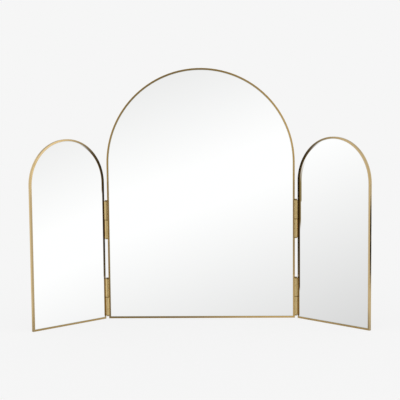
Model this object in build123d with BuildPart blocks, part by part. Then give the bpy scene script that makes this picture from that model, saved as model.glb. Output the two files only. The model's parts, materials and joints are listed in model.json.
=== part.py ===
import os
from math import cos, radians, sin, sqrt

from build123d import *

# Folding table mirror: a large arched mirror that stands on its own bottom rail,
# with a smaller arched wing hinged to each side and swung forward.
# Millimetres. +X is the viewer's right, +Y is the back, +Z is up. The origin lies
# on the table, at the middle of the large panel's underside.

# Panels, over the brass
centre_width = 300.0
centre_height = 400.0
wing_width = 140.0
wing_height = 290.0

# Angle that each wing is swung forward from flat, in degrees
left_wing_angle = 46.0
right_wing_angle = 44.5

# Channel that frames each panel: brass strip folded to a U, open inwards
brass = 0.6
lip = 3.0
edge_break = 0.25  # filed along the two folds

# What the channel holds
glass_thickness = 2.0
board_thickness = 0.8
board_play = 0.1  # between the board and the channel's back lip
edge_play = 0.4  # between the edges of glass and board and the channel's wall

# Hinges: two to each wing, each a pair of leaves rolled into one knuckle apiece
hinge_heights = {"lower": 5.0, "upper": 130.0}  # underside of the lower knuckle
knuckle_length = 30.0
knuckle_gap = 0.3
knuckle_wall = 0.8
leaf_thickness = 0.8
leaf_gap = 1.4  # between the two leaves when the wing lies flat
leaf_setback = 0.5  # from the channel's back face
swing_clearance = 0.3  # around a knuckle, to whatever swings past it
pin_radius = 1.45
pin_clearance = 0.05
pin_head_radius = 2.2
pin_head_height = 1.4
pin_foot_radius = 2.0
pin_foot_height = 0.8
pin_edge_break = 0.5  # round the head's top and the foot's underside

channel_depth = 2 * brass + glass_thickness + board_thickness + board_play
bore_radius = pin_radius + pin_clearance
barrel_radius = bore_radius + knuckle_wall
hinge_length = 2 * knuckle_length + knuckle_gap
panel_gap = 2 * leaf_thickness + leaf_gap

# The pin stands just so far in front of the panels that their corners clear the
# barrel all the way round the swing.
pin_proud = sqrt((barrel_radius + swing_clearance) ** 2 - (panel_gap / 2) ** 2)


def turned(x_dir, origin):
    """A panel's own plane: x along its base, y up, z out of its front."""
    up = Vector(0, 0, 1)
    return Plane(origin=origin, x_dir=x_dir, z_dir=x_dir.cross(up))


def wing_plane(side, angle):
    """The front plane of a wing, its origin under the middle of its front face."""
    outwards = Vector(side * cos(radians(angle)), -sin(radians(angle)), 0)
    backwards = Vector(side * sin(radians(angle)), cos(radians(angle)), 0)
    hinge_to_middle = panel_gap / 2 + wing_width / 2
    origin = pin_line(side) + outwards * hinge_to_middle + backwards * pin_proud
    return turned(outwards * side, origin)


def pin_line(side):
    """The foot of a wing's hinge axis."""
    return Vector(side * (centre_width + panel_gap) / 2, -channel_depth / 2 - pin_proud, 0)


def channel_section(plane):
    """The folded U, x into the panel and y out of its front, its outer corner at 0."""
    with BuildSketch(plane) as section:
        with Locations((0, -channel_depth)):
            Rectangle(lip, channel_depth, align=Align.MIN)
        chamfer(section.vertices().group_by(Axis.X)[0], length=edge_break)
        with Locations((brass, -channel_depth / 2)):
            Rectangle(
                lip - brass,
                channel_depth - 2 * brass,
                align=(Align.MIN, Align.CENTER),
                mode=Mode.SUBTRACT,
            )
    return section.sketch


def mitre_plane(panel, width):
    """The 45 degree joint at a panel's right corner, facing up and out."""
    corner = panel.from_local_coords(Vector(width / 2, 0, 0))
    return Plane(origin=corner, z_dir=panel.x_dir + panel.y_dir)


def arch_rail(panel, width, height):
    """One length of channel bent over the arch, mitred at both feet."""
    spring = height - width / 2
    half_way = Plane(origin=panel.origin, z_dir=panel.x_dir)
    foot = Plane(
        origin=panel.from_local_coords(Vector(width / 2, 0, 0)),
        x_dir=panel.x_dir * -1,
        z_dir=panel.y_dir,
    )
    section = channel_section(foot)
    with BuildPart() as rail:
        with BuildLine(panel) as outer_edge:
            Line((width / 2, 0), (width / 2, spring))
            CenterArc((0, spring), width / 2, 0, 90)
        sweep(section, path=outer_edge.line)
        split(bisect_by=mitre_plane(panel, width), keep=Keep.TOP)
        mirror(about=half_way)
    return rail.part


def base_rail(panel, width):
    """The straight channel under a panel, mitred to the feet of its arch."""
    half_way = Plane(origin=panel.origin, z_dir=panel.x_dir)
    section = channel_section(Plane(origin=panel.origin, x_dir=panel.y_dir, z_dir=panel.x_dir))
    with BuildPart() as rail:
        extrude(section, amount=width / 2)
        split(bisect_by=mitre_plane(panel, width), keep=Keep.BOTTOM)
        mirror(about=half_way)
    return rail.part


def arched_sheet(panel, width, height, front, thickness):
    """A sheet cut to sit inside the channel, its front so far behind the panel's."""
    with BuildPart() as sheet:
        with BuildSketch(panel.offset(-front)):
            Rectangle(width, height - width / 2, align=(Align.CENTER, Align.MIN))
            with Locations((0, height - width / 2)):
                Circle(width / 2)
            offset(amount=-brass - edge_play, kind=Kind.INTERSECTION, mode=Mode.REPLACE)
        extrude(amount=-thickness)
    return sheet.part


def hinge_leaf(panel, side, toward, height, knuckle_at_top):
    """One leaf, soldered to a panel's outer wall, with its half of the barrel.

    It is drawn in plan about the pin, with x along the panel and y to its back.
    toward is +1 where the panel lies on the pin's +x side, and -1 on the other.
    """
    plan = Plane(
        origin=pin_line(side) + Vector(0, 0, height), x_dir=panel.x_dir, z_dir=panel.y_dir
    )
    knuckle_base = knuckle_length + knuckle_gap if knuckle_at_top else 0
    back_edge = pin_proud + channel_depth - leaf_setback
    clear_radius = barrel_radius + swing_clearance
    clear_edge = sqrt(clear_radius**2 - (leaf_gap / 2) ** 2)
    leaf_middle = toward * (leaf_gap + leaf_thickness) / 2
    with BuildPart() as leaf:
        with BuildSketch(plan):
            with Locations((leaf_middle, clear_edge)):
                Rectangle(leaf_thickness, back_edge - clear_edge, align=(Align.CENTER, Align.MIN))
        extrude(amount=hinge_length)
        with BuildSketch(plan.offset(knuckle_base)):
            Circle(barrel_radius)
            with Locations((leaf_middle, 0)):
                Rectangle(leaf_thickness, back_edge, align=(Align.CENTER, Align.MIN))
            Circle(bore_radius, mode=Mode.SUBTRACT)
        extrude(amount=knuckle_length)
    return leaf.part


def hinge_pin(side, height):
    """The pin, peened under the lower knuckle and headed above the upper one."""
    foot = pin_line(side) + Vector(0, 0, height)
    head_base = hinge_length + knuckle_gap
    head_top = head_base + pin_head_height
    with BuildPart() as pin:
        with BuildSketch(Plane(origin=foot, x_dir=(1, 0, 0), z_dir=(0, -1, 0))):
            with BuildLine():
                Polyline(
                    (0, -pin_foot_height),
                    (pin_foot_radius - pin_edge_break, -pin_foot_height),
                    (pin_foot_radius, pin_edge_break - pin_foot_height),
                    (pin_foot_radius, 0),
                    (pin_radius, 0),
                    (pin_radius, head_base),
                    (pin_head_radius, head_base),
                    (pin_head_radius, head_top - pin_edge_break),
                    (pin_head_radius - pin_edge_break, head_top),
                    (0, head_top),
                    close=True,
                )
            make_face()
        revolve(axis=Axis(origin=foot, direction=(0, 0, 1)))
    return pin.part


os.makedirs("parts", exist_ok=True)


def write(piece, name):
    piece.label = name
    export_step(piece, f"parts/{name}.step")


centre_plane = turned(Vector(1, 0, 0), Vector(0, -channel_depth / 2, 0))
wings = {
    "left": (-1, wing_plane(-1, left_wing_angle)),
    "right": (1, wing_plane(1, right_wing_angle)),
}

panels = {"centre": (centre_plane, centre_width, centre_height)}
for name, (side, plane) in wings.items():
    panels[f"{name}_wing"] = (plane, wing_width, wing_height)

for name, (plane, width, height) in panels.items():
    write(arch_rail(plane, width, height), f"{name}_arch_rail")
    write(base_rail(plane, width), f"{name}_base_rail")
    write(arched_sheet(plane, width, height, brass, glass_thickness), f"{name}_mirror_glass")
    board_front = brass + glass_thickness
    write(arched_sheet(plane, width, height, board_front, board_thickness), f"{name}_back_board")

# The lower knuckle of each hinge belongs to the centre panel, the upper to the wing.
for name, (side, plane) in wings.items():
    for level, height in hinge_heights.items():
        hinge = f"{name}_{level}_hinge"
        write(hinge_leaf(centre_plane, side, -side, height, False), f"{hinge}_centre_leaf")
        write(hinge_leaf(plane, side, side, height, True), f"{hinge}_wing_leaf")
        write(hinge_pin(side, height), f"{hinge}_pin")
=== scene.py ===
import json
import math

import bpy
from mathutils import Matrix, Vector


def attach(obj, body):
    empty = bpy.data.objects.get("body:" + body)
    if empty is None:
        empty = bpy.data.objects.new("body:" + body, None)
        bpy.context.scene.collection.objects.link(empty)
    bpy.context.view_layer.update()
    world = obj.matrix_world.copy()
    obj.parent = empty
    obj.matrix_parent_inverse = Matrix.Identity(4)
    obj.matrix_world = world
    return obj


# Folding table mirror in thin brass channel: an arched centre panel with a hinged wing each side.
# Metres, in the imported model's frame: +X is the viewer's right, +Y the back, +Z up, the table at 0.

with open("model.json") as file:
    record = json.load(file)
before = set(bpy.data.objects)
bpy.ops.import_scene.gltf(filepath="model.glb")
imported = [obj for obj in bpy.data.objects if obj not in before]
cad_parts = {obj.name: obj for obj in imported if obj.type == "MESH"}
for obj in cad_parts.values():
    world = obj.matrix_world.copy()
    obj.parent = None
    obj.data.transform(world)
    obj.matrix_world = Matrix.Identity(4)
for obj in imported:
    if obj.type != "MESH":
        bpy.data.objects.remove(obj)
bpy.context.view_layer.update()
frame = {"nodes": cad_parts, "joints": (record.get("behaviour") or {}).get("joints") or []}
nodes = frame["nodes"]
joints = {joint["child"]: joint for joint in frame["joints"]}
print("frame loaded,", len(nodes), "nodes")


# Camera, fitted to the photograph, which is square
camera = {
    "imageSize": 400,  # pixels
    "lensPixels": 912.9,  # distance from the lens to the picture plane
    "axisPixel": (200, 212),  # where the lens looks straight out through the picture
    "sensor": 36.0,  # millimetres
    "nearest": 0.05,
    "place": (0.0458, -1.4558, 0.2934),
    "turn": -1.85,  # degrees to the right
    "dip": 4.78,  # degrees below level
    "roll": -0.56,
}


def addCamera():
    turn = Matrix.Rotation(-math.radians(camera["turn"]), 4, "Z")
    dip = Matrix.Rotation(math.radians(90 - camera["dip"]), 4, "X")
    roll = Matrix.Rotation(math.radians(camera["roll"]), 4, "Z")
    bpy.ops.object.camera_add()
    made = bpy.context.object
    made.name = "camera"
    made.matrix_world = Matrix.Translation(camera["place"]) @ turn @ dip @ roll
    size = camera["imageSize"]
    made.data.sensor_width = camera["sensor"]
    made.data.lens = camera["lensPixels"] * camera["sensor"] / size
    made.data.shift_x = (size / 2 - camera["axisPixel"][0]) / size
    made.data.shift_y = (camera["axisPixel"][1] - size / 2) / size
    made.data.clip_start = camera["nearest"]
    bpy.context.scene.camera = made


addCamera()
print("camera set")


# Shader maths
class Wire:  # one output socket; sums on it add Math nodes
    def __init__(self, tree, socket=None):
        self.tree = tree
        self.socket = socket

    def node(self, kind, inputs=None, out=0, **settings):
        made = self.tree.nodes.new("ShaderNode" + kind)
        for name, setting in settings.items():
            setattr(made, name, setting)
        for name, value in (inputs or {}).items():
            if isinstance(value, Wire):
                self.tree.links.new(value.socket, made.inputs[name])
            else:
                made.inputs[name].default_value = value
        return Wire(self.tree, made.outputs[out] if made.outputs else None)

    def math(self, operation, *others):
        return self.node("Math", dict(enumerate((self, *others))), operation=operation)

    def __add__(self, other):
        return self.math("ADD", other)

    def __sub__(self, other):
        return self.math("SUBTRACT", other)

    def __mul__(self, other):
        return self.math("MULTIPLY", other)

    def __lt__(self, other):
        return self.math("LESS_THAN", other)

    def __gt__(self, other):
        return self.math("GREATER_THAN", other)

    def __abs__(self):
        return self.math("ABSOLUTE")

    def __rsub__(self, other):
        return self.node("Math", {0: other, 1: self}, operation="SUBTRACT")

    __radd__ = __add__
    __rmul__ = __mul__


def ease(value, low, high):  # 0 at low, 1 at high, whichever of the two is larger
    return value.node("MapRange", {0: value, 1: low, 2: high}, interpolation_type="SMOOTHSTEP")


def within(value, low, high, below, above):  # 1 from low to high, soft by so much at each end
    return ease(value, low - below, low) * ease(value, high + above, high)


def mixNumber(share, first, second):
    return first + (second - first) * share


def mixColour(share, first, second):
    return share.node(
        "Mix", {0: share, 6: solid(first), 7: solid(second)}, out=2, data_type="RGBA"
    )


def solid(colour):
    return colour if isinstance(colour, Wire) else (*colour, 1)


def split(vector):
    return [vector.node("SeparateXYZ", {0: vector}, out=axis) for axis in range(3)]


def join(x, y, z):
    return x.node("CombineXYZ", {0: x, 1: y, 2: z})


def stretched(parts, scales):
    return join(*(part * scale for part, scale in zip(parts, scales)))


def noise(vector, scale=1.0, detail=2.0, roughness=0.5):
    return vector.node(
        "TexNoise",
        {"Vector": vector, "Scale": scale, "Detail": detail, "Roughness": roughness},
    )


def onObject(wire):
    return wire.node("TexCoord", out="Object")


def startMaterial(name):
    material = bpy.data.materials.new(name)
    material.use_nodes = True
    material.node_tree.nodes.clear()
    return material, Wire(material.node_tree)


def finishSurface(wire, colour, metallic, roughness, height=None, relief=0.0):
    inputs = {"Base Color": colour, "Metallic": metallic, "Roughness": roughness}
    if height:
        inputs["Normal"] = wire.node(
            "Bump", {"Strength": 1.0, "Distance": relief, "Height": height}
        )
    shader = wire.node("BsdfPrincipled", inputs)
    wire.node("OutputMaterial", {"Surface": shader})


def paint(node, material):
    node.data.materials.clear()
    node.data.materials.append(material)


# The three panels: size over the brass, how far each is swung forward, and how much painted shade
# darkens its brass
panels = {
    "centre": {"width": 0.300, "height": 0.400, "side": 0, "turn": 0.0, "shadeDepth": 0.7},
    "left_wing": {"width": 0.140, "height": 0.290, "side": -1, "turn": 46.0, "shadeDepth": 0.1},
    "right_wing": {"width": 0.140, "height": 0.290, "side": 1, "turn": 44.5, "shadeDepth": 0.1},
}
channel = {
    "depth": 0.0041,
    "lip": 0.003,
    "hingeGap": 0.0015,  # from the hinge line to the wing's wall
    "pinProud": 0.002124,  # from the hinge line back to the fronts
}


def panelPlace(name):  # middle of the panel's front edge on the table, and its turn about Z
    panel = panels[name]
    if panel["side"] == 0:
        return Vector((0, -channel["depth"] / 2, 0)), 0.0
    side, turn = panel["side"], math.radians(panel["turn"])
    outwards = Vector((side * math.cos(turn), -math.sin(turn), 0))
    backwards = Vector((side * math.sin(turn), math.cos(turn), 0))
    reach = channel["hingeGap"] + panel["width"] / 2
    hinge = Vector(joints[name]["pos_m"])
    return hinge + outwards * reach + backwards * channel["pinProud"], -side * turn


def panelSpace(wire, name):  # x across the panel, y to its back, z up
    place, turn = panelPlace(name)
    return wire.node(
        "Mapping",
        {"Vector": onObject(wire), "Location": place, "Rotation": (0, 0, turn)},
        vector_type="TEXTURE",
    )


def springOf(panel):  # height at which the legs turn into the arch
    return panel["height"] - panel["width"] / 2


def fromWall(panel, x, z):  # distance in from the outer wall of the legs and the arch
    half, rise = panel["width"] / 2, z - springOf(panel)
    radius = (x * x + rise * rise).math("SQRT")
    return mixNumber(z > springOf(panel), half - abs(x), half - radius)


# Brass channel of the frames
frameBrass = {
    "light": (0.615, 0.468, 0.262),
    "deep": (0.60, 0.40, 0.13),
    "edge": (0.78, 0.60, 0.32),
    "solder": (0.60, 0.52, 0.36),
    "cut": (0.07, 0.045, 0.02),  # painted shade: a dark line along the strip's inner edges, next to the glass
    "gloss": 0.07,
    "dull": 0.16,
    "relief": 0.00002,
    "brush": (18, 2600, 2600),  # grain along the strip, across it and through it
    "clouds": 38.0,
    "tarnished": (0.45, 0.72),  # of the clouds: none at the first, full from the second
    "filed": (0.00045, 0.00015),  # from the wall
    "mitred": (0.00055, 0.0002),  # from the mitre
    "cutWidth": 0.00006,
    "shares": {"tarnish": 0.3, "brush": 0.1, "filed": 0.5, "mitre": 0.6, "cut": 0.9},
    "dulling": {"tarnish": 0.6, "brush": 0.4},
    "mitreDent": 0.5,
    "baseShadeDepth": 0.4,  # painted shade: the wings' base rails are that much deeper in colour
    "hingeShadeRuns": (  # painted shade: from, to and how much, up each hinge side
        (0.0050, 0.0653, 0.35),
        (0.0713, 0.1240, 0.55),
        (0.1300, 0.1903, 0.90),
        (0.1963, 0.2200, 0.50),
    ),
    "hingeShadeSoft": 0.003,
    "hingeShadeReach": (0.006, 0.0035),  # from the hinge side's wall
    # colours of the painted shade up the hinge sides
    "hingeShadeColours": {"centre": (0.42, 0.26, 0.08), "wing": (0.035, 0.02, 0.008)},
}


def brassForPanel(name):
    panel = panels[name]
    material, wire = startMaterial("brass_" + name)
    place = panelSpace(wire, name)
    x, y, z = split(place)
    half, spring, side = panel["width"] / 2, springOf(panel), panel["side"]

    # Distance in from the outer wall, and along the strip from the foot
    angle = (z - spring).math("ARCTAN2", abs(x))
    legInset = half - abs(x)
    legLength = mixNumber(z > spring, z, angle * half + spring)
    onBase = z < legInset
    across = mixNumber(onBase, fromWall(panel, x, z), z)
    along = mixNumber(onBase, legLength, x)

    brush = noise(stretched((along, across, y), frameBrass["brush"]), detail=3.0, roughness=0.6)
    clouds = noise(place, frameBrass["clouds"], detail=4.0, roughness=0.6)
    tarnish = ease(clouds, *frameBrass["tarnished"])
    filed = ease(across, *frameBrass["filed"])
    mitre = ease(abs(z - legInset), *frameBrass["mitred"])
    # painted shade: a dark line along the lip's inner edge, next to the glass
    cut = across > channel["lip"] - frameBrass["cutWidth"]

    shares, dulling = frameBrass["shares"], frameBrass["dulling"]
    # random tarnish and brushing, plus the panel's painted shade
    share = tarnish * shares["tarnish"] + brush * shares["brush"] + panel["shadeDepth"]
    if side:
        share = share + onBase * frameBrass["baseShadeDepth"]
    colour = mixColour(share, frameBrass["light"], frameBrass["deep"])
    colour = mixColour(filed * shares["filed"], colour, frameBrass["edge"])
    colour = mixColour(mitre * shares["mitre"], colour, frameBrass["solder"])
    colour = mixColour(cut * shares["cut"], colour, frameBrass["cut"])

    # Painted shade up the hinge sides: both of the centre's, and the inner one of a wing
    soft = frameBrass["hingeShadeSoft"]
    hingeShadeSpans = [within(z, low, high, soft, soft) * much for low, high, much in frameBrass["hingeShadeRuns"]]
    toHinge = x * side + half if side else legInset
    hingeShadeShare = sum(hingeShadeSpans) * ease(toHinge, *frameBrass["hingeShadeReach"])
    colour = mixColour(hingeShadeShare, colour, frameBrass["hingeShadeColours"]["wing" if side else "centre"])

    wear = tarnish * dulling["tarnish"] + brush * dulling["brush"]
    roughness = mixNumber(wear, frameBrass["gloss"], frameBrass["dull"])
    height = brush - mitre * frameBrass["mitreDent"]
    finishSurface(wire, colour, 1.0, roughness, height, frameBrass["relief"])
    return material


# Hinge brass: yellower strip rolled round the pin
hingeBrass = {
    "light": (0.82, 0.62, 0.29),
    "deep": (0.38, 0.24, 0.07),
    "gloss": 0.13,
    "dull": 0.30,
    "relief": 0.00002,
    "feet": (0.005, 0.130),  # undersides of the lower knuckles
    "knuckle": 0.030,
    "gap": 0.0003,
    "pin": 0.1515,  # from the middle to each pin's line
    "grain": (90, 90, 2200),
    "clouds": 160.0,
    "grimy": (0.0014, 0.0002),  # from a knuckle's end
    "worn": (0.5, 0.75),  # of the clouds
    "turned": ((-1, 0.0006, 1.0), (1, 0.0008, 0.5)),  # painted shade on the wings' knuckles: side, width and how much
    "aboveTop": 0.001,
    "shares": {"grime": 0.8, "worn": 0.3, "turned": 0.5},
    "dulling": {"dirtAndShade": 0.7, "grain": 0.3},
}


def brassForHinges():
    material, wire = startMaterial("brass_hinges")
    place = onObject(wire)
    x, y, z = split(place)
    grain = noise(stretched((x, y, z), hingeBrass["grain"]), detail=3.0)
    clouds = noise(place, hingeBrass["clouds"], detail=3.0)

    # Grime where the knuckles meet and at their ends
    knuckle, gap = hingeBrass["knuckle"], hingeBrass["gap"]
    stops = (0, knuckle + gap / 2, 2 * knuckle + gap)
    ends = [foot + stop for foot in hingeBrass["feet"] for stop in stops]
    grime = sum(ease(abs(z - end), *hingeBrass["grimy"]) for end in ends)
    worn = ease(clouds, *hingeBrass["worn"])

    # The wings' knuckles get painted shade, and are rougher, where they turn towards the centre's
    # frame
    turned = sum(
        ease(x - side * hingeBrass["pin"], 0.0, width) * (x * side > 0) * much
        for side, width, much in hingeBrass["turned"]
    )
    upper = sum(
        (z > foot + knuckle) * (z < foot + 2 * knuckle + hingeBrass["aboveTop"])
        for foot in hingeBrass["feet"]
    )
    shares, dulling = hingeBrass["shares"], hingeBrass["dulling"]
    # grime and random wear, with the painted shade on the wings' knuckles
    dirtAndShade = grime * shares["grime"] + worn * shares["worn"] + turned * upper * shares["turned"]
    colour = mixColour(dirtAndShade, hingeBrass["light"], hingeBrass["deep"])
    wear = dirtAndShade * dulling["dirtAndShade"] + grain * dulling["grain"]
    roughness = mixNumber(wear, hingeBrass["gloss"], hingeBrass["dull"])
    finishSurface(wire, colour, 1.0, roughness, grain, hingeBrass["relief"])
    return material


# Hinge pins: turned heads, their brass painted dark as painted shade
shadedPinBrass = {
    "light": (0.34, 0.24, 0.11),
    "deep": (0.10, 0.065, 0.025),
    "gloss": 0.2,
    "dull": 0.4,
    "relief": 0.00001,
    "clouds": 900.0,
    "tarnished": (0.4, 0.7),  # of the clouds
}


def shadedBrassForPins():
    material, wire = startMaterial("brass_pins_shaded")
    clouds = noise(onObject(wire), shadedPinBrass["clouds"], detail=3.0)
    tarnish = ease(clouds, *shadedPinBrass["tarnished"])
    # painted shade: dark brass throughout, with random tarnish
    colour = mixColour(tarnish, shadedPinBrass["light"], shadedPinBrass["deep"])
    roughness = mixNumber(clouds, shadedPinBrass["gloss"], shadedPinBrass["dull"])
    finishSurface(wire, colour, 1.0, roughness, clouds, shadedPinBrass["relief"])
    return material


# Silvered float glass
silver = {
    "clear": (0.955, 0.96, 0.958),
    "rimShade": (0.80, 0.82, 0.80),  # painted shade, a little darker beside the lip
    "rimShadeWidth": 0.0012,
    "hingeSide": (0.050, 0.022),  # from the hinge: none at the first, full from the second
    "paintedReflectionSoft": (0.0002, 0.0004),  # beyond a band's width, and within it
    "paintedReflection": [  # painted reflection of the brass and its shade, on the wings' glass beside their hinge sides
        # wings' sides, width, lowest, highest, soft below, soft above, colour
        ((1,), 0.0052, 0.190, 0.215, 0.004, 0.045, (0.25, 0.19, 0.083)),
        ((1,), 0.0040, 0.160, 0.190, 0.020, 0.004, (0.25, 0.19, 0.083)),
        ((1,), 0.0019, 0.052, 1.000, 0.010, 0.001, (0.090, 0.048, 0.006)),
        ((-1,), 0.0018, 0.210, 1.000, 0.010, 0.001, (0.090, 0.048, 0.006)),
        ((-1,), 0.0009, 0.070, 0.210, 0.005, 0.010, (0.090, 0.048, 0.006)),
    ],
}


def silverForPanel(name):
    panel = panels[name]
    material, wire = startMaterial("silver_" + name)
    x, y, z = split(panelSpace(wire, name))
    inset = fromWall(panel, x, z).math("MINIMUM", z) - channel["lip"]
    # painted shade on the glass beside the lip
    colour = mixColour(ease(inset, silver["rimShadeWidth"], 0.0), silver["clear"], silver["rimShade"])
    beyond, inside = silver["paintedReflectionSoft"]
    # painted reflections of the brass beside the wings' hinge sides
    for sides, width, low, high, below, above, paintedReflection in silver["paintedReflection"]:
        if panel["side"] in sides:
            hingeSide = ease(x * panel["side"] + panel["width"] / 2, *silver["hingeSide"])
            share = within(z, low, high, below, above) * hingeSide
            share = share * ease(inset, width + beyond, width - inside)
            colour = mixColour(share, colour, paintedReflection)
    finishSurface(wire, colour, 1.0, 0.0)
    return material


# Dark fibre board behind the glass
board = {
    "face": (0.045, 0.037, 0.031),
    "fibre": (0.085, 0.068, 0.052),
    "gloss": 0.62,
    "dull": 0.85,
    "relief": 0.00008,
    "fibres": (260, 260, 900),
    "flecks": (1400, 400, 500),
    "clouds": 14.0,
    "shaded": (0.4, 0.62),
    "mix": {"fibres": 0.6, "flecks": 0.4, "shade": 0.7, "clouds": 0.3, "fleckHeight": 0.5},
}


def boardForPanel(name):
    material, wire = startMaterial("board_" + name)
    place = panelSpace(wire, name)
    parts, mix = split(place), board["mix"]
    fibres = noise(stretched(parts, board["fibres"]), detail=4.0, roughness=0.7)
    flecks = noise(stretched(parts, board["flecks"]), detail=2.0)
    clouds = noise(place, board["clouds"], detail=3.0)
    shade = ease(fibres * mix["fibres"] + flecks * mix["flecks"], *board["shaded"])
    share = shade * mix["shade"] + clouds * mix["clouds"]
    colour = mixColour(share, board["face"], board["fibre"])
    roughness = mixNumber(fibres, board["gloss"], board["dull"])
    height = fibres + flecks * mix["fleckHeight"]
    finishSurface(wire, colour, 0.0, roughness, height, board["relief"])
    return material


hingeFinish = brassForHinges()
shadedPinFinish = shadedBrassForPins()
for name, node in nodes.items():
    if "_hinge_" in name:
        paint(node, shadedPinFinish if name.endswith("_pin") else hingeFinish)
for panelName in panels:
    brass = brassForPanel(panelName)
    paint(nodes[panelName + "_arch_rail"], brass)
    paint(nodes[panelName + "_base_rail"], brass)
    paint(nodes[panelName + "_mirror_glass"], silverForPanel(panelName))
    paint(nodes[panelName + "_back_board"], boardForPanel(panelName))

# As in the photograph, neither wing shows in the other's mirror
for name, node in nodes.items():
    if "_wing_" in name and "_hinge_" not in name:
        node.visible_glossy = False
print("finishes on")


# Runs of solder down the back edges of the hinge leaves
solder = {
    "radius": 0.00042,
    "sides": 10,
    "rings": 30,
    "ends": 0.45,  # how much slimmer it starts
    "endPower": 6,  # the higher, the shorter the slim ends
    "waves": 0.14,
    "wander": ((41, 0), (67, 1)),  # each wave's turns along the run, and where it starts
    "smoothTo": 50,  # degrees
    "leafSetback": 0.0005,  # from the frame's back face
    "inset": 0.0008,  # short of the leaf's ends
    "bright": (0.62, 0.56, 0.44),
    "dark": (0.33, 0.27, 0.18),
    "gloss": 0.22,
    "dull": 0.42,
    "relief": 0.00003,
    "lumps": 1500.0,
    "clouds": 260.0,
    "tarnished": (0.4, 0.7),  # of the clouds
}


def solderRadius(step):  # a hand-drawn run, slimmer at its ends
    along = step / solder["rings"]
    taper = 1 - solder["ends"] * abs(2 * along - 1) ** solder["endPower"]
    wander = sum(math.sin(along * turns + start) for turns, start in solder["wander"])
    return solder["radius"] * (taper - solder["waves"] / 2 + solder["waves"] / 4 * wander)


def addRun():
    length = 2 * hingeBrass["knuckle"] + hingeBrass["gap"] - 2 * solder["inset"]
    rise = length / solder["rings"]
    bpy.ops.object.select_all(action="DESELECT")
    bpy.ops.mesh.primitive_circle_add(
        vertices=solder["sides"], radius=solderRadius(0), fill_type="NGON"
    )
    bpy.ops.object.mode_set(mode="EDIT")
    for step in range(solder["rings"]):
        bpy.ops.mesh.extrude_region_move(TRANSFORM_OT_translate={"value": (0, 0, rise)})
        grow = solderRadius(step + 1) / solderRadius(step)
        middle = (0, 0, rise * (step + 1))
        bpy.ops.transform.resize(value=(grow, grow, 1), center_override=middle)
    bpy.ops.mesh.select_all(action="SELECT")
    bpy.ops.mesh.normals_make_consistent(inside=False)
    bpy.ops.object.mode_set(mode="OBJECT")
    bpy.ops.object.shade_smooth_by_angle(angle=math.radians(solder["smoothTo"]))
    return bpy.context.object


def solderMetal():
    material, wire = startMaterial("solder")
    lumps = noise(onObject(wire), solder["lumps"])
    clouds = noise(onObject(wire), solder["clouds"], detail=3.0)
    colour = mixColour(ease(clouds, *solder["tarnished"]), solder["bright"], solder["dark"])
    roughness = mixNumber(lumps, solder["gloss"], solder["dull"])
    finishSurface(wire, colour, 1.0, roughness, lumps, solder["relief"])
    return material


def addSolder():
    run = addRun()
    metal = solderMetal()
    back = channel["depth"] - solder["leafSetback"]
    for name, panel in panels.items():
        place, turn = panelPlace(name)
        onPanel = Matrix.Translation(place) @ Matrix.Rotation(turn, 4, "Z")
        copies = []
        for side in (-1, 1) if panel["side"] == 0 else (-panel["side"],):
            for foot in hingeBrass["feet"]:
                made = run.copy()
                made.data = run.data.copy()
                bpy.context.collection.objects.link(made)
                corner = (side * panel["width"] / 2, back, foot + solder["inset"])
                made.matrix_world = onPanel @ Matrix.Translation(corner)
                copies.append(made)
        bpy.ops.object.select_all(action="DESELECT")
        for made in copies:
            made.select_set(True)
        bpy.context.view_layer.objects.active = copies[0]
        bpy.ops.object.join()
        bpy.ops.object.transform_apply(location=True, rotation=True, scale=True)
        runs = bpy.context.object
        runs.name = name + "_solder"
        paint(runs, metal)
        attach(runs, name)
    bpy.data.objects.remove(run)


addSolder()
print("solder on")


# Studio: a pale floor under an even dome, and soft cards that the brass reflects
studio = {
    "paper": 0.9216,  # the photograph's plain background, as light
    "shade": 0.12,  # how much of the soft shadow under the mirror shows
    "floorSize": 16.0,
    "floorDrop": 0.0002,
}
mirrorSky = {  # what the mirrors see: white, fading off above and below a slanting band
    "slant": 0.43,  # the band climbs so many degrees for each degree to the right
    "period": 82.0,  # degrees between the three mirrors' views, so that the slant repeats in each
    "level": -2.6,  # the band's height straight ahead, in degrees
    "sway": -4.2,  # added to it towards the right, taken off towards the left
    "halfWidth": 1.4,
    "fade": 0.0262,  # light lost for each degree beyond the band
    "peak": 1.045,
    "least": 0.66,
    "middle": -4,
    "beyond": (14, 26),  # degrees above or below the middle, where floor and ceiling take over
    "far": 0.84,
}
brassSky = {  # azimuth 0 is the camera's side and 90 the viewer's right, in degrees
    "base": 0.6,
    "cards": {  # azimuth, width, lowest, highest, soft edge, glow; a later card covers an earlier
        "front wall": (0, 60, -40, 40, 12, 0.52),
        "left window": (-90, 60, -35, 50, 15, 0.90),
        "right window": (90, 60, -35, 50, 15, 0.74),
        "right lamp": (79, 16, -2.8, 30, 0.8, 1.30),
        "floor": (0, 360, -90, -12.0, 0.6, 0.42),
        "left floor": (-85, 30, -90, -11.5, 0.6, 0.36),
        "front rug": (-9, 10, -40, -10.5, 3, 0.30),
        "front floor": (9, 14, -40, -10.5, 4, 0.88),
        "front lamp": (5, 3, -1, 2.5, 1.5, 0.90),
        "camera": (-4, 6, 1.5, 25, 2, 0.30),
        "right stand": (101, 16, -8.6, -4.5, 0.6, 0.0),
    },
}


def skyAngles(x, y, z):  # azimuth and elevation of a direction
    level = (x * x + y * y).math("SQRT")
    azimuth = x.math("ARCTAN2", y * -1) * (180 / math.pi)
    return azimuth, z.math("ARCTAN2", level) * (180 / math.pi)


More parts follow.
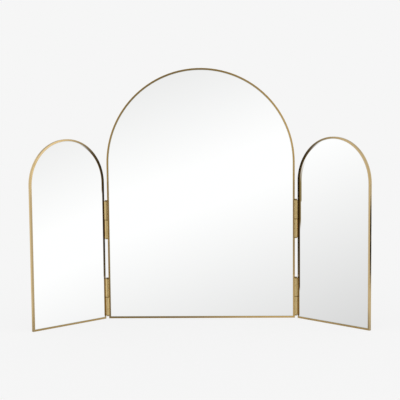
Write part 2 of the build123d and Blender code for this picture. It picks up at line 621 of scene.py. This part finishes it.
def mirrorTone(azimuth, elevation):
    period = mirrorSky["period"]
    sweep = (azimuth * (math.tau / period)).math("SINE")
    climb = sweep * (mirrorSky["slant"] * period / math.tau)
    sway = (azimuth * (math.pi / 180)).math("SINE") * mirrorSky["sway"]
    off = abs(elevation - climb - sway - mirrorSky["level"]) - mirrorSky["halfWidth"]
    tone = mirrorSky["peak"] - off.math("MAXIMUM", 0.0) * mirrorSky["fade"]
    tone = tone.math("MAXIMUM", mirrorSky["least"])
    away = ease(abs(elevation - mirrorSky["middle"]), *mirrorSky["beyond"])
    return mixNumber(away, tone, mirrorSky["far"])


def brassTone(azimuth, elevation):
    tone = brassSky["base"]
    for middle, width, low, high, soft, glow in brassSky["cards"].values():
        sideways = ease(abs(azimuth - middle), width / 2 + soft, width / 2)
        card = sideways * within(elevation, low, high, soft, soft)
        tone = (glow - tone) * card + tone
    return tone


def addWorld():
    world = bpy.data.worlds.new("studio")
    bpy.context.scene.world = world
    world.use_nodes = True
    world.node_tree.nodes.clear()
    world.cycles.sampling_method = "NONE"
    wire = Wire(world.node_tree)
    azimuth, elevation = skyAngles(*split(wire.node("TexCoord", out="Generated")))
    fromCamera = wire.node("LightPath", out="Is Camera Ray")
    offMirror = wire.node("LightPath", out="Is Singular Ray")
    diffuseHits = wire.node("LightPath", out="Diffuse Depth")
    tone = mixNumber(offMirror, brassTone(azimuth, elevation), mirrorTone(azimuth, elevation))
    tone = mixNumber(diffuseHits > 0.5, tone, 1.0)
    tone = mixNumber(fromCamera, tone, studio["paper"])
    light = wire.node("Background", {"Color": join(tone, tone, tone), "Strength": 1.0})
    wire.node("OutputWorld", {"Surface": light})


def addFloor():
    bpy.ops.mesh.primitive_plane_add(
        size=studio["floorSize"], location=(0, 0, -studio["floorDrop"])
    )
    floor = bpy.context.object
    floor.name = "floor"
    bpy.ops.object.transform_apply(location=True)
    material, wire = startMaterial("paper")
    paper = (studio["paper"], studio["paper"], studio["paper"], 1)
    lit = wire.node("BsdfDiffuse", {"Color": paper})
    even = wire.node("Emission", {"Color": paper})
    shader = wire.node("MixShader", {0: 1 - studio["shade"], 1: lit, 2: even})
    wire.node("OutputMaterial", {"Surface": shader})
    material.cycles.emission_sampling = "NONE"
    paint(floor, material)
    floor.visible_glossy = False


# A card between the wings, met only by what their brass reflects: the dark side of the
# studio, which the real brass sees by way of the other wing's mirror
screen = {
    "front": -0.100,
    "back": -0.006,
    "foot": 0.000,
    "top": 0.300,
    "dark": 0.03,
    "darkDepth": (-0.098, -0.030),  # none at the first, full from the second
    "darkHeight": (-0.05, 0.12),
}


def addScreen():
    bpy.ops.mesh.primitive_plane_add(size=1, rotation=(0, math.pi / 2, 0))
    card = bpy.context.object
    card.name = "wingScreen"
    depth, height = screen["back"] - screen["front"], screen["top"] - screen["foot"]
    card.scale = (height, depth, 1)
    card.location = (0, screen["front"] + depth / 2, screen["foot"] + height / 2)
    bpy.ops.object.transform_apply(location=True, rotation=True, scale=True)
    material, wire = startMaterial("screen")
    x, y, z = split(onObject(wire))
    share = 1 - wire.node("LightPath", out="Is Singular Ray")  # the mirrors don't see it
    for at, (none, full) in ((y, screen["darkDepth"]), (z, screen["darkHeight"])):
        share = share * wire.node("MapRange", {0: at, 1: none, 2: full})
    dark = wire.node("Emission", {"Color": (1, 1, 1, 1), "Strength": screen["dark"]})
    clear = wire.node("BsdfTransparent")
    shader = wire.node("MixShader", {0: share, 1: clear, 2: dark})
    wire.node("OutputMaterial", {"Surface": shader})
    material.cycles.emission_sampling = "NONE"
    paint(card, material)
    card.visible_camera = card.visible_diffuse = card.visible_shadow = False


bpy.ops.object.select_all(action="DESELECT")
addWorld()
addFloor()
addScreen()
bpy.context.scene.view_settings.view_transform = "Standard"
print("studio lit")
